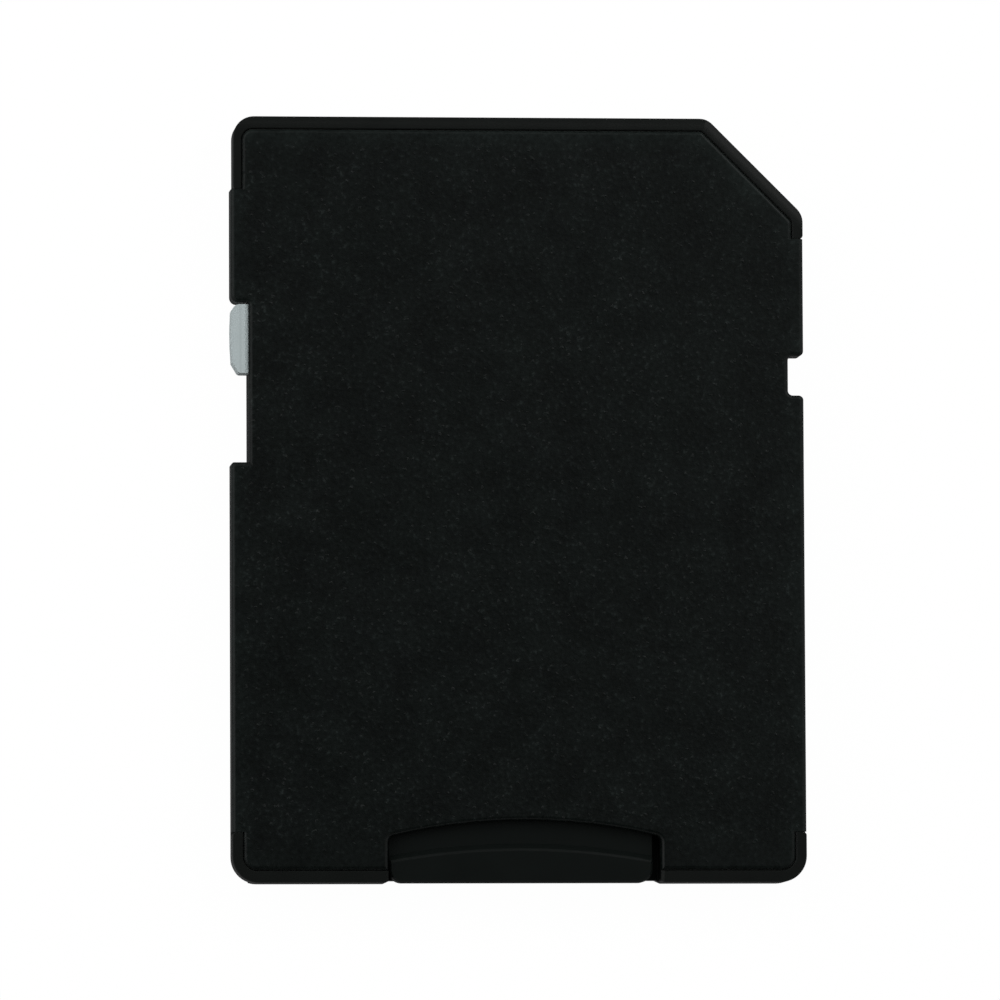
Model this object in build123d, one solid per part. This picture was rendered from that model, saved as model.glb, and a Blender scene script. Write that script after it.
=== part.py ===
"""Memory card shell with a micro card in its slot.

Two moulded covers hold a block of stamped terminals, a side spring and the write-lock slider.
A micro card is pushed in at the rear, and its lip shows in a curved window of the front cover.
The shell lies on its contact side. X runs across it, Y towards the leading end with the contacts,
and Z up through the label side. The origin is the middle of the back face, in millimetres.
"""
from build123d import *
import os
from math import isclose, sqrt

# Shell outline
shell_width = 24.0
shell_length = 32.0
lead_chamfer = 4.0  # cut corner at the leading end
lead_corner_radius = 1.0
chamfer_corner_radius = 0.8
rear_corner_radius = 1.1
inner_corner_radius = 0.1  # least rounding inside the walls
rail_width = 0.75  # step along each long edge of the back
rail_underside = 0.7  # height of the rails above the back face
lead_relief = 0.1  # the left rail is set in this much at the leading end

# Edges
edge_radius = 0.18  # upper edges of the front cover
lead_crown_radius = 0.9  # upper side of the rim at the leading end
rim_bevel = 0.04
rim_end_radius = 0.15  # outer corners at the ends of the rim
floor_bevel = 0.12  # round the back face
lead_in = 0.3  # bevel under the leading end
mouth_bevel = 0.12  # ends of the rim beside the window

# Heights, from the back face up
floor_thickness = 0.7
ledge_height = 0.15
card_clearance = 0.05  # under and over the micro card
roof_thickness = 0.45

# Covers
floor_overlap = 0.15  # the walls stand this far in from the step of the rails
skirt_depth = 0.25  # sides of the front cover below its plate
side_rim_width = 0.44
lead_rim_width = 0.52
rear_rim_width = 0.49
seam_gap = 0.02
rim_end_gap = 0.01
left_lead_rim = 3.07  # how far the rim comes down each side
right_lead_rim = 5.05
rear_rim_return = 2.1
peg_diameter = 0.9
peg_clearance = 0.05
boss_wall = 0.4
boss_setback = 2.8  # rear bosses, from the rear edge
fit_gap = 0.1  # carrier to covers

# Micro card
micro_length = 15.0
micro_width = 11.0
micro_thickness = 0.7
micro_nose_width = 9.7
micro_nose_length = 5.0
micro_tooth = 0.3  # full width between the ramp and the notch
micro_notch_length = 1.5
micro_notch_depth = 0.7
micro_corner_radius = 0.55
micro_nose_radius = 0.4
lip_height = 0.3
lip_depth = 1.39  # from the rear edge, in the middle
lip_slope = 0.25
lip_arc_radius = 30.0
lip_edge_radius = 0.15  # along the crest
lip_bevel = 0.08
micro_pad_margin = 1.0  # card edge to the middle of the outer pads
micro_pad_gap = 0.3
micro_pad_setback = 1.1
micro_pad_length = 2.9
micro_pad_depth = 0.04
power_pad_extra = 0.5  # supply and ground pads reach nearer to the nose

# Bay of the micro card
micro_offset = 0.05  # middle of the micro card, right of the middle of the shell
bay_play = 0.05  # on the side that the card is pressed to
spring_play = 0.35  # on the side of the side spring
bay_wall = 0.8
ledge_width = 1.2
mouth_recess = 0.12
stop_clearance = 0.05
window_depth = 2.6  # crest of the window's arc, from the rear edge
window_arc_radius = 24.0
window_corner_radius = 0.3

# Contacts of the shell
contact_margin_left = 1.675  # shell edge to the middle of the outer contacts
contact_margin_right = 3.125
last_contact_pitch = 1.7
rib_width = 0.75
slot_length = 5.5
pad_seat = 0.15  # overlap of a pad on the edge of its slot

# Terminals
terminal_thickness = 0.15
strip_width = 0.5
strip_bend_radius = 0.6
fan_drop = 0.75  # straight run below the pads
fan_height = 2.5  # straight run above the stop
carrier_margin = 0.45
spring_reach = 2.4  # stop to the crest of a contact spring
spring_dip = 0.2
spring_tip = 0.6
spring_room = 0.35  # floor beyond the tips
spring_bend_radius = 0.4
spring_root = 1.0  # length of the spring's root in the carrier
spring_pocket_depth = 0.3
contact_gap = 0.02
bridge_rise = 0.4  # ground strip over its neighbours
bridge_width = 0.8

# Side spring
leaf_thickness = 0.15
leaf_anchor_length = 2.0
leaf_anchor_offset = 0.45  # bay side to the middle of the anchored end
leaf_run = 7.8  # anchor to the free end
leaf_crown = 2.0  # crown to the free end
leaf_end_room = 0.3
leaf_bend_radius = 0.8
leaf_gap = 0.02
leaf_setback = 2.2  # nose of the micro card to the anchored end
leaf_pocket_wall = 0.4

# Write-lock slider and the notches
lock_notch_start = 7.81  # from the leading edge
lock_notch_length = 6.68
lock_notch_depth = 0.75
lock_notch_upper_radius = 0.3
lock_notch_lower_radius = 0.13
lock_tab_length = 2.88
lock_tab_radius = 0.35
lock_tab_bulge = 0.05
lock_tab_cut_height = 0.46  # slope at the lower outer corner
lock_tab_cut_width = 0.27
lock_tab_bevel = 0.15  # along the wall of the notch
lock_tab_bevel_depth = 0.12
lock_end_gap = 0.08
lock_side_gap = 0.05
lock_wall_gap = 0.02  # tab to the wall of the notch
lock_slot_height = 0.4
lock_sill = 0.5
lock_neck_length = 1.8
lock_foot_length = 2.4
lock_foot_width = 0.6
guide_width = 0.5
side_notch_start = 9.97
side_notch_length = 1.66
side_notch_depth = 0.65
side_notch_radius = 0.2
notch_backing = 0.5

# Heights that follow
z_floor = floor_thickness
z_ledge = z_floor + ledge_height
z_card = z_ledge + card_clearance
z_card_top = z_card + micro_thickness
z_roof = z_card_top + card_clearance
z_top = z_roof + roof_thickness
z_parting = z_roof - skirt_depth
z_strip = z_floor + terminal_thickness / 2

# Places that follow
wall_thickness = rail_width + floor_overlap
half_width = shell_width / 2
half_length = shell_length / 2
y_lead = half_length
y_rear = -half_length
beyond = shell_width  # cutters reach this far past the shell

micro_left = micro_offset - micro_width / 2
micro_right = micro_left + micro_width
y_nose = y_rear + micro_length
y_stop = y_nose + stop_clearance
bay_left = micro_left - bay_play
bay_right = micro_right + spring_play

micro_pitch = (micro_nose_width - 2 * micro_pad_margin) / 7
contact_nine = half_width - contact_margin_right
contact_eight = -half_width + contact_margin_left
contact_pitch = (contact_nine - contact_eight - last_contact_pitch) / 7
slot_width = contact_pitch - rib_width
pad_width = slot_width + 2 * pad_seat
pad_gap = contact_pitch - pad_width
y_slot_end = y_lead - slot_length
y_pad_end = y_slot_end - pad_seat
y_fan_top = y_pad_end - fan_drop
y_fan_bottom = y_stop + fan_height
y_crest = y_stop - spring_reach
y_spring_end = y_crest - spring_tip - spring_room
chamfer_sum = half_width + half_length - lead_chamfer  # x + y along the cut corner

y_lock_top = y_lead - lock_notch_start
y_lock_bottom = y_lock_top - lock_notch_length
x_lock = -half_width + lock_notch_depth
x_sill = x_lock + lock_sill
z_sill = z_parting - lock_slot_height
y_side_top = y_lead - side_notch_start
y_side_bottom = y_side_top - side_notch_length
x_side = half_width - side_notch_depth
x_web = x_side - notch_backing
x_guide = x_sill + 2 * lock_side_gap + lock_foot_width

y_leaf_anchor = y_nose - leaf_setback
y_leaf_root = y_leaf_anchor - leaf_anchor_length
y_leaf_end = y_leaf_root - leaf_run
x_leaf = bay_right + leaf_anchor_offset
x_leaf_wall = x_leaf + leaf_thickness / 2 + leaf_pocket_wall
x_leaf_back = x_leaf_wall + leaf_pocket_wall


def patch(x0, x1, y0, y1):
    """Flat rectangle between two corners."""
    return Pos((x0 + x1) / 2, (y0 + y1) / 2) * Rectangle(x1 - x0, y1 - y0)


def slab(plan, z0, z1):
    """Solid of a plan between two heights."""
    return Pos(0, 0, z0) * extrude(plan, amount=z1 - z0)


def block(x0, x1, y0, y1, z0, z1):
    """Solid of a rectangle between two heights."""
    return slab(patch(x0, x1, y0, y1), z0, z1)


def rounded(plan, corners):
    """Plan with the vertex nearest to each (x, y) rounded by its radius."""
    for x, y, radius in corners:
        vertex = plan.vertices().sort_by_distance((x, y, 0))[0]
        plan = fillet(vertex, radius)
    return plan


def shell_plan(side=0.0, lead=0.0, rear=0.0):
    """Outline of the shell, drawn in at its sides, leading end and rear end."""
    x = half_width - side
    top = y_lead - lead
    bottom = y_rear + rear
    cut = chamfer_sum - lead * sqrt(2)
    points = [(-x, bottom), (x, bottom), (x, cut - x), (cut - top, top), (-x, top)]
    plain = [
        rear_corner_radius - max(side, rear),
        rear_corner_radius - max(side, rear),
        chamfer_corner_radius - max(side, lead),
        chamfer_corner_radius - max(side, lead),
        lead_corner_radius - max(side, lead),
    ]
    corners = [(px, py, max(r, inner_corner_radius)) for (px, py), r in zip(points, plain)]
    return rounded(make_face(Polyline(*points, close=True)), corners)


def relieved_plan():
    """Outline of the back cover, whose left rail is set in at the leading end."""
    stretch = patch(-beyond, 0, y_lead - left_lead_rim, beyond)
    return (shell_plan() - stretch) + (shell_plan(side=lead_relief) & stretch)


def notched(plan):
    """A plan of the shell with the lock notch and the side notch cut into its edges."""
    plan -= patch(-beyond, x_lock, y_lock_bottom, y_lock_top)
    plan -= patch(x_side, beyond, y_side_bottom, y_side_top)
    corners = [
        (-half_width, y_lock_top, lock_notch_upper_radius),
        (-half_width, y_lock_bottom, lock_notch_lower_radius),
        (x_lock, y_lock_top, lock_notch_lower_radius),
        (half_width, y_side_top, side_notch_radius),
        (half_width, y_side_bottom, side_notch_radius),
        (x_side, y_side_top, side_notch_radius),
        (x_side, y_side_bottom, side_notch_radius),
    ]
    return rounded(plan, corners)


def rim_ends(gap=0.0):
    """Where the rim ends along the sides: at the rear, on the left and on the right, cleared by a gap."""
    return y_rear + rear_rim_return + gap, y_lead - left_lead_rim - gap, y_lead - right_lead_rim - gap


def side_zones(gap=0.0):
    """Stretches of both long edges where the front cover reaches the outside."""
    rear, left, right = rim_ends(gap)
    return patch(-beyond, 0, rear, left) + patch(0, beyond, rear, right)


def seam_plan(gap=0.0):
    """Outline inside the rim, drawn in by a gap."""
    return shell_plan(side_rim_width + gap, lead_rim_width + gap, rear_rim_width + gap)


def cavity_plan():
    """Inside of the walls."""
    return shell_plan(wall_thickness, wall_thickness, wall_thickness)


def wall_webs():
    """Thicker stretches of the side walls, from the rear end to past the notches."""
    bottom = y_rear + wall_thickness
    left = patch(x_lock, x_sill, bottom, y_lock_top + lock_sill)
    right = patch(x_web, x_side, bottom, y_side_top + notch_backing)
    return left + right


def boss_places():
    """Middles of the four bosses, in the hollows beside the bay."""
    left = (bay_left - bay_wall + x_sill) / 2
    right = (x_leaf_back + x_web) / 2
    first = y_rear + boss_setback
    last = y_nose - peg_diameter
    return [(x, y) for x in (left, right) for y in (first, last)]


def contact_x(number):
    """Middle of a contact of the shell, numbered 1 to 9 as on every such card."""
    if number == 9:
        return contact_nine
    if number == 8:
        return contact_eight
    return contact_nine - number * contact_pitch


def micro_x(number):
    """Middle of a contact of the micro card, numbered 1 to 8."""
    return micro_left + micro_pad_margin + (8 - number) * micro_pitch


def pad_edges(number):
    """Left and right edge of a shell contact. The last two stand closer together."""
    x = contact_x(number)
    left = x - pad_width / 2
    right = x + pad_width / 2
    between = (contact_x(7) + contact_eight) / 2
    if number == 7:
        left = between + pad_gap / 2
    if number == 8:
        right = between - pad_gap / 2
        left = 2 * x - right
    return left, right


def arched_plan(left, right, crest, radius, low):
    """Strip between two sides with an arc along its upper end."""
    half = (right - left) / 2
    end = crest - radius + sqrt(radius**2 - half**2)
    arc = ThreePointArc((right, end), (left + half, crest), (left, end))
    sides = Polyline((left, end), (left, low), (right, low), (right, end))
    return make_face(Curve() + [arc, sides])


def window_plan():
    """Opening of the front cover over the lip of the micro card."""
    plan = arched_plan(bay_left, bay_right, y_rear + window_depth, window_arc_radius, -beyond)
    corners = [(x, y_rear + window_depth, window_corner_radius) for x in (bay_left, bay_right)]
    return rounded(plan, corners)


def make_front_cover():
    """Label-side cover: plate, skirts along the outer edges and pegs underneath."""
    zones = side_zones(rim_end_gap)
    plan = notched(seam_plan(seam_gap) + (shell_plan() & zones)) - window_plan()
    cover = slab(plan, z_roof, z_top)
    cover = fillet(free_edges(cover), edge_radius)
    skirts = (plan & zones) - (cavity_plan() - wall_webs())
    cover += slab(skirts, z_parting, z_roof)
    for x, y in boss_places():
        cover += Pos(x, y) * slab(Circle(peg_diameter / 2), z_floor + fit_gap, z_roof)
    return cover


def upper_edges(solid):
    """Edges of a cover's plate on the label side."""
    return solid.edges().filter_by_position(Axis.Z, z_top, z_top)


def free_edges(cover):
    """Upper edges of the front cover, apart from those that meet the ends of the rim."""
    found = []
    for edge in upper_edges(cover):
        middle = edge.position_at(0.5)
        if not any(isclose(middle.Y, y, abs_tol=rim_end_gap / 2) for y in rim_ends(rim_end_gap)):
            found.append(edge)
    return found


def make_back_cover():
    """Contact-side cover: floor with the contact slots, walls, rim and the bay."""
    plateau = patch(-half_width + rail_width, half_width - rail_width, -beyond, beyond)
    outline = notched(relieved_plan())
    walls = outline - cavity_plan()
    ends = rim_end_plan(outline)
    cover = slab(ends - seam_plan(), z_roof, z_top)
    cover = chamfer(upper_edges(cover), rim_bevel)
    cover += slab(ends - cavity_plan(), z_parting, z_roof)
    cover += slab(walls - plateau, rail_underside, z_parting)
    floor = slab(relieved_plan() & plateau, 0, z_floor)
    cover += chamfer(floor.edges().filter_by_position(Axis.Z, 0, 0), floor_bevel)
    cover += slab(walls & plateau, floor_bevel, z_parting)
    cover -= along_lead(lead_crown()) + along_lead(lead_bevel())
    cover += slab(wall_webs(), z_floor, z_parting)
    cover -= block(x_lock - lock_notch_depth, x_sill, y_lock_bottom, y_lock_top, z_sill, z_parting)
    cover += slab(slider_guide(), z_floor, z_roof)
    for left, right in slot_edges():
        cover -= block(left, right, y_slot_end, beyond, 0, z_floor)
    cover = with_bay(cover)
    for x, y in boss_places():
        boss = slab(Circle(peg_diameter / 2 + peg_clearance + boss_wall), z_floor, z_roof)
        socket = slab(Circle(peg_diameter / 2 + peg_clearance), z_floor, z_roof)
        cover += Pos(x, y) * (boss - socket)
    return cover


def rim_end_plan(outline):
    """Both ends of an outline, where the rim is, with rounded corners where it stops."""
    rear, left, right = rim_ends()
    corners = [
        (-half_width, rear, rim_end_radius),
        (half_width, rear, rim_end_radius),
        (-half_width + lead_relief, left, rim_end_radius),
        (half_width, right, rim_end_radius),
    ]
    return rounded(outline - side_zones(), corners)


def along_lead(section):
    """Solid of a section, drawn outward and up, run along the leading edge and the cut corner."""
    run = extrude(Plane.YZ * section, amount=beyond, both=True)
    return Pos(0, y_lead) * run + Rot(0, 0, -45) * Pos(0, chamfer_sum / sqrt(2)) * run


def lead_crown():
    """Section that crowns the rim of the leading end."""
    width = lead_rim_width
    crown = Pos(-width, -lead_crown_radius) * Circle(lead_crown_radius)
    return Pos(0, z_top) * (patch(-width, width, -width, width) - crown)


def lead_bevel():
    """Section that bevels a lower edge of the leading end."""
    points = [(-2 * lead_in, -lead_in), (lead_in, 2 * lead_in), (lead_in, -lead_in)]
    return make_face(Polyline(*points, close=True))


def slot_edges():
    """Left and right edges of the contact slots. The last two contacts share one."""
    edges = [(contact_x(n) - slot_width / 2, contact_x(n) + slot_width / 2) for n in (9, 1, 2, 3, 4, 5, 6)]
    edges.append((pad_edges(8)[0] + pad_seat, contact_x(7) + slot_width / 2))
    return edges


def slider_guide():
    """Rib that the foot of the slider runs along."""
    top = y_lock_top - lock_tab_length / 2
    return patch(x_guide, x_guide + guide_width, y_lock_bottom - lock_sill, top)


def with_bay(cover):
    """The back cover with the bay of the micro card and the seat of its side spring."""
    walls = patch(bay_left - bay_wall, bay_left, y_rear + wall_thickness / 2, y_stop)
    walls += patch(bay_right, x_leaf_back, y_rear + wall_thickness / 2, y_stop)
    cover += slab(walls, z_floor, z_roof)
    cover -= block(bay_left, bay_right, -beyond, y_stop, z_floor, beyond)
    cover -= slab(mouth_plan(), 0, z_top) + mouth_bevels()
    for left in (bay_left, bay_right - ledge_width):
        cover += block(left, left + ledge_width, y_rear + mouth_recess, y_spring_end, z_floor, z_ledge)
    pocket_left = micro_x(8) - strip_width
    pocket_right = micro_x(1) + strip_width
    z_pocket = z_floor - spring_pocket_depth
    cover -= block(pocket_left, pocket_right, y_spring_end, y_stop, z_pocket, z_floor)
    cover -= block(bay_right, x_leaf_wall, y_leaf_end - leaf_end_room, y_leaf_root, z_ledge, z_roof)
    slit = leaf_thickness / 2 + leaf_gap
    cover -= block(x_leaf - slit, x_leaf + slit, y_leaf_root, y_leaf_anchor + leaf_gap, z_ledge, z_roof)
    return cover


def mouth_plan():
    """Recess of the rear edge at the mouth of the bay, with slanted ends."""
    depth = mouth_recess
    low = y_rear - depth
    high = y_rear + depth
    points = [
        (bay_left - 3 * depth, low),
        (bay_right + 3 * depth, low),
        (bay_right - depth, high),
        (bay_left + depth, high),
    ]
    return make_face(Polyline(*points, close=True))


def mouth_bevels():
    """Cutter that bevels the upper ends of the rim beside the window."""
    low = z_top - mouth_bevel
    points = [
        (bay_left, low),
        (bay_right, low),
        (bay_right + mouth_bevel, z_top),
        (bay_left - mouth_bevel, z_top),
    ]
    return extrude(Plane.XZ * make_face(Polyline(*points, close=True)), amount=beyond)


def make_side_spring():
    """Leaf that presses the micro card against the far side of its bay."""
    x_crown = micro_right + leaf_gap + leaf_thickness / 2
    path = FilletPolyline(
        (x_leaf, y_leaf_anchor),
        (x_leaf, y_leaf_root - leaf_crown / 2),
        (x_crown, y_leaf_end + leaf_crown),
        (bay_right, y_leaf_end),
        radius=leaf_bend_radius,
    )
    return slab(trace(path, leaf_thickness), z_ledge, z_roof - card_clearance)


def make_lock_slider():
    """Write-lock slider: tab in the notch, neck through the slot and foot inside the walls."""
    x_in = x_lock - lock_wall_gap
    x_edge = -half_width + lock_tab_bulge
    x_cut = x_edge + lock_tab_cut_width
    top = y_lock_top - lock_end_gap
    bottom = top - lock_tab_length
    middle = (top + bottom) / 2
    cut = bottom + lock_tab_cut_height
    outer = ThreePointArc((x_edge, top), (-half_width, (top + cut) / 2), (x_edge, cut))
    rest = Polyline((x_edge, cut), (x_cut, bottom), (x_in, bottom), (x_in, top), (x_edge, top))
    corners = [(x_edge, top, lock_tab_radius), (x_cut, bottom, lock_tab_radius / 2)]
    plan = rounded(make_face(Curve() + [outer, rest]), corners)
    slider = slab(plan, rail_underside + lock_side_gap, z_top - lock_side_gap)
    tab_top = slider.faces().sort_by(Axis.Z)[-1]
    inner_edge = tab_top.edges().filter_by(Axis.Y)[0]
    slider = chamfer(inner_edge, lock_tab_bevel, lock_tab_bevel_depth, reference=tab_top)
    x_foot = x_sill + lock_side_gap
    neck = patch(x_in - lock_tab_bevel, x_foot, middle - lock_neck_length / 2, middle + lock_neck_length / 2)
    slider += slab(neck, z_sill + lock_side_gap, z_parting - lock_side_gap)
    low = middle - lock_foot_length / 2
    foot = patch(x_foot, x_foot + lock_foot_width, low, low + lock_foot_length)
    slider += slab(foot, z_floor + lock_side_gap, z_roof - lock_side_gap)
    return slider


def micro_plan():
    """Outline of the micro card, with the ramp and the notch of its stepped side."""
    x_nose = micro_left + micro_nose_width
    y_ramp = y_nose - micro_nose_length
    y_tooth = y_ramp - (micro_right - x_nose)
    notch_top = y_tooth - micro_tooth
    notch_bottom = notch_top - micro_notch_length
    x_notch = micro_right - micro_notch_depth
    points = [
        (micro_left, y_rear),
        (micro_right, y_rear),
        (micro_right, notch_bottom),
        (x_notch, notch_bottom),
        (x_notch, notch_top),
        (micro_right, notch_top),
        (micro_right, y_tooth),
        (x_nose, y_ramp),
        (x_nose, y_nose),
        (micro_left, y_nose),
    ]
    corners = [
        (micro_left, y_rear, micro_corner_radius),
        (micro_right, y_rear, micro_corner_radius),
        (x_nose, y_nose, micro_nose_radius),
        (micro_left, y_nose, micro_nose_radius),
    ]
    return rounded(make_face(Polyline(*points, close=True)), corners)


def make_micro_card():
    """Moulded body of the micro card, with the raised lip at its rear edge."""
    plan = micro_plan()
    z_lip = z_card_top + lip_height
    foot = arched_plan(micro_left, micro_right, y_rear + lip_depth + lip_slope, lip_arc_radius, y_rear)
    crest = arched_plan(micro_left, micro_right, y_rear + lip_depth, lip_arc_radius, y_rear)
    lip = loft([Pos(0, 0, z_card_top) * foot, Pos(0, 0, z_lip) * crest])
    rear = slab(plan, z_card_top, z_lip)
    rear = chamfer(rear.edges().filter_by_position(Axis.Z, z_lip, z_lip), lip_bevel)
    card = slab(plan, z_card, z_card_top) + (lip & rear)
    crest_edge = card.edges().filter_by_position(Axis.Z, z_lip, z_lip).sort_by(Axis.Y)[-1]
    card = fillet(crest_edge, lip_edge_radius)
    return card - make_micro_contacts()


def make_micro_contacts():
    """Contact pads of the micro card, flush with its underside."""
    width = micro_pitch - micro_pad_gap
    pads = []
    for number in range(1, 9):
        left = micro_x(number) - width / 2
        front = y_nose - micro_pad_setback
        rear = front - micro_pad_length
        if number in (4, 6):
            front += power_pad_extra
        pads.append(block(left, left + width, rear, front, z_card, z_card + micro_pad_depth))
    return Compound(children=pads)


def pad_plan(number):
    """Pad of a shell contact, kept clear of the walls of the leading end."""
    left, right = pad_edges(number)
    clear = wall_thickness + fit_gap
    front = min(y_lead - clear, chamfer_sum - clear * sqrt(2) - right)
    return patch(left, right, y_pad_end, front)


def strip_plan(shell_number, micro_number):
    """Strip from a shell contact, fanned in to the pitch of the micro card."""
    x_pad = sum(pad_edges(shell_number)) / 2
    x_end = micro_x(micro_number)
    path = FilletPolyline(
        (x_pad, y_slot_end),
        (x_pad, y_fan_top),
        (x_end, y_fan_bottom),
        (x_end, y_stop),
        radius=strip_bend_radius,
    )
    return trace(path, strip_width)


def contact_spring(x):
    """Spring that leaves the carrier under the micro card, dips and rises to the card's pad."""
    z_crest = z_card - contact_gap - terminal_thickness / 2
    path = FilletPolyline(
        (y_stop + spring_root, z_strip),
        (y_stop, z_strip),
        ((y_stop + y_crest) / 2, z_strip - spring_dip),
        (y_crest, z_crest),
        (y_crest - spring_tip, z_crest - spring_dip),
        radius=spring_bend_radius,
    )
    profile = Plane.YZ * trace(path, terminal_thickness)
    return Pos(x, 0, 0) * extrude(profile, amount=strip_width / 2, both=True)


def ground_bridge():
    """Arch that joins the two ground contacts over the contacts between them."""
    right = contact_x(3)
    left = contact_x(6)
    z_arch = z_strip + bridge_rise
    path = FilletPolyline(
        (right + pad_seat, z_strip),
        (right, z_strip),
        (right - bridge_rise, z_arch),
        (left + bridge_rise, z_arch),
        (left, z_strip),
        (left - pad_seat, z_strip),
        radius=terminal_thickness,
    )
    profile = Plane.XZ * trace(path, terminal_thickness)
    y_middle = y_lead - wall_thickness - fit_gap - pad_seat - bridge_width / 2
    return Pos(0, y_middle, 0) * extrude(profile, amount=bridge_width / 2, both=True)


def make_terminal(shell_numbers, micro_number):
    """One stamped terminal: pad, fan-in strip and contact spring."""
    plan = strip_plan(shell_numbers[0], micro_number)
    for number in shell_numbers:
        plan += pad_plan(number)
    terminal = slab(plan, z_floor, z_floor + terminal_thickness)
    terminal += contact_spring(micro_x(micro_number))
    if len(shell_numbers) > 1:
        terminal += ground_bridge()
    return terminal


def make_carrier(terminals):
    """Moulded block round the terminals. Its rear face stops the micro card."""
    clear = wall_thickness + fit_gap
    x_side_face = half_width - clear
    y_front = y_lead - clear
    cut = chamfer_sum - clear * sqrt(2)
    y_shoulder = y_pad_end - fit_gap
    x_left = micro_x(8) - strip_width / 2 - carrier_margin
    x_right = micro_x(1) + strip_width / 2 + carrier_margin
    points = [
        (-x_side_face, y_front),
        (cut - y_front, y_front),
        (x_side_face, cut - x_side_face),
        (x_side_face, y_shoulder),
        (x_right, y_fan_bottom),
        (x_right, y_stop),
        (x_left, y_stop),
        (x_left, y_fan_bottom),
        (-x_side_face, y_shoulder),
    ]
    carrier = slab(make_face(Polyline(*points, close=True)), z_floor, z_roof)
    for terminal in terminals:
        carrier -= terminal
    return carrier


# Terminals: name, shell contacts and micro card contact
terminal_list = [
    ("data_2", (9,), 1),
    ("data_3", (1,), 2),
    ("command", (2,), 3),
    ("supply", (4,), 4),
    ("clock", (5,), 5),
    ("ground", (6, 3), 6),
    ("data_0", (7,), 7),
    ("data_1", (8,), 8),
]


def make_pieces():
    """All pieces of the card by name."""
    terminals = {name + "_terminal": make_terminal(shell, micro) for name, shell, micro in terminal_list}
    pieces = {
        "front_cover": make_front_cover(),
        "back_cover": make_back_cover(),
        "lock_slider": make_lock_slider(),
        "micro_card": make_micro_card(),
        "micro_card_contacts": make_micro_contacts(),
        "side_spring": make_side_spring(),
        "terminal_carrier": make_carrier(terminals.values()),
    }
    pieces.update(terminals)
    return pieces


os.makedirs("parts", exist_ok=True)
for piece_name, solid in make_pieces().items():
    export_step(solid, os.path.join("parts", piece_name + ".step"))
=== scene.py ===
"""Looks of a memory-card adapter that holds a micro card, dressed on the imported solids.

The solids keep their packed forms and places. Each gets the finish of its real material: black mouldings
with a spark-eroded or a blasted skin, a pale slider, gold-plated contacts and a spring-steel leaf. A white
floor, a white surround and soft lamps stand round them, and the camera looks down on the label side.
"""

import math

import bpy
from mathutils import Matrix, Vector


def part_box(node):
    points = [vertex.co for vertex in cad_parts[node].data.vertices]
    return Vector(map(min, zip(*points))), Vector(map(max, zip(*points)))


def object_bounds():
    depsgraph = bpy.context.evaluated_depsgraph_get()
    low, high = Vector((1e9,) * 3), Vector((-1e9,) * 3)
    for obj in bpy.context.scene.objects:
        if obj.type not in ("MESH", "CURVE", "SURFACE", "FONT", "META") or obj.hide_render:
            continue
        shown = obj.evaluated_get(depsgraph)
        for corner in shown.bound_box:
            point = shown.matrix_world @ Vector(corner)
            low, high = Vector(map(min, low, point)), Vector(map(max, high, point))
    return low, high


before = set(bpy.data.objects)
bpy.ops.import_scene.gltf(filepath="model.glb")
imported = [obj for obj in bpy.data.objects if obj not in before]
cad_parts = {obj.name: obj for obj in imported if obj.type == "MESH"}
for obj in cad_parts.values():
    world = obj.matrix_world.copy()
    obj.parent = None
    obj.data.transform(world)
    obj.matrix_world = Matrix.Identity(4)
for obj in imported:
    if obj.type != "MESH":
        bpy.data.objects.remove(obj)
CAD_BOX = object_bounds()

bl_info = {
    "name": "Memory Card Adapter Looks",
    "version": (1, 0, 0),
    "blender": (4, 5, 0),
    "location": "3D View > Sidebar > Card Adapter",
    "description": "Finishes the moulded, stamped and plated pieces of a card adapter on a white stage",
    "category": "Material",
}

MM = 0.001

TERMINALS = (
    "data_2_terminal",
    "data_3_terminal",
    "command_terminal",
    "supply_terminal",
    "clock_terminal",
    "ground_terminal",
    "data_0_terminal",
    "data_1_terminal",
)

# Refractive indices of the plastics.
ABS_IOR = 1.54
LCP_IOR = 1.6
ACETAL_IOR = 1.48
EPOXY_IOR = 1.55

# The grain of the covers and of the micro card shades itself, which leaves them little gloss.
PEBBLED_GLOSS = 0.07
FINE_GLOSS = 0.04

# Sizes and heights in the spark-eroded skin, in grains. A pebble reaches a share of its spacing.
COVER_CLOUD = 10
GRAIN_HEIGHT = 0.07
PEBBLE_SPACING = 2.0
PEBBLE_REACH = 0.23
PEBBLE_WARP = 1.4
PEBBLE_HEIGHT = 0.14

# Where most values of a noise lie, and the middle of a coloured one.
NOISE_SPAN = {"From Min": 0.3, "From Max": 0.7}
NOISE_MIDDLE = (0.5, 0.5, 0.5)

# How noise turns into the spark-eroded skin: level ground over the hollows, which carry painted shade, the
# tops of grains, where pebbles cluster, where the painted glints of grain tops crowd, cloudy shade and
# roughness.
LEVEL_GROUND = {"From Min": 0.32, "From Max": 0.56}
GRAIN_TOP = {"From Min": 0.57, "From Max": 0.8}
CLUSTER = {"From Min": 0.35, "From Max": 0.6, "To Min": 0.5, "To Max": 1.0}
CROWD = {"From Min": 0.35, "From Max": 0.65, "To Min": 0.8, "To Max": 1.1}
CLOUD_SHADE = {**NOISE_SPAN, "To Min": 0.7, "To Max": 1.3}
COVER_ROUGHNESS = {**NOISE_SPAN, "To Min": 0.34, "To Max": 0.38}

# How pale the painted glints on a grain's top and on a pebble are, the share of grain left at an edge, and
# how pale the painted light along the leading edge and the sides makes it.
TOP_PAINTED_GLINT = 0.7
PEBBLE_PAINTED_GLINT = 0.35
EDGE_GRAIN = 0.2
LEAD_PAINTED_LIGHT = 1.9
SIDE_PAINTED_LIGHT = 1.5

# The blasted skin: its clouds and its height in grains, and its roughness over the clouds.
RIM_CLOUD = 20
RIM_HEIGHT = 0.08
RIM_ROUGHNESS = {**NOISE_SPAN, "To Min": 0.3, "To Max": 0.34}

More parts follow.
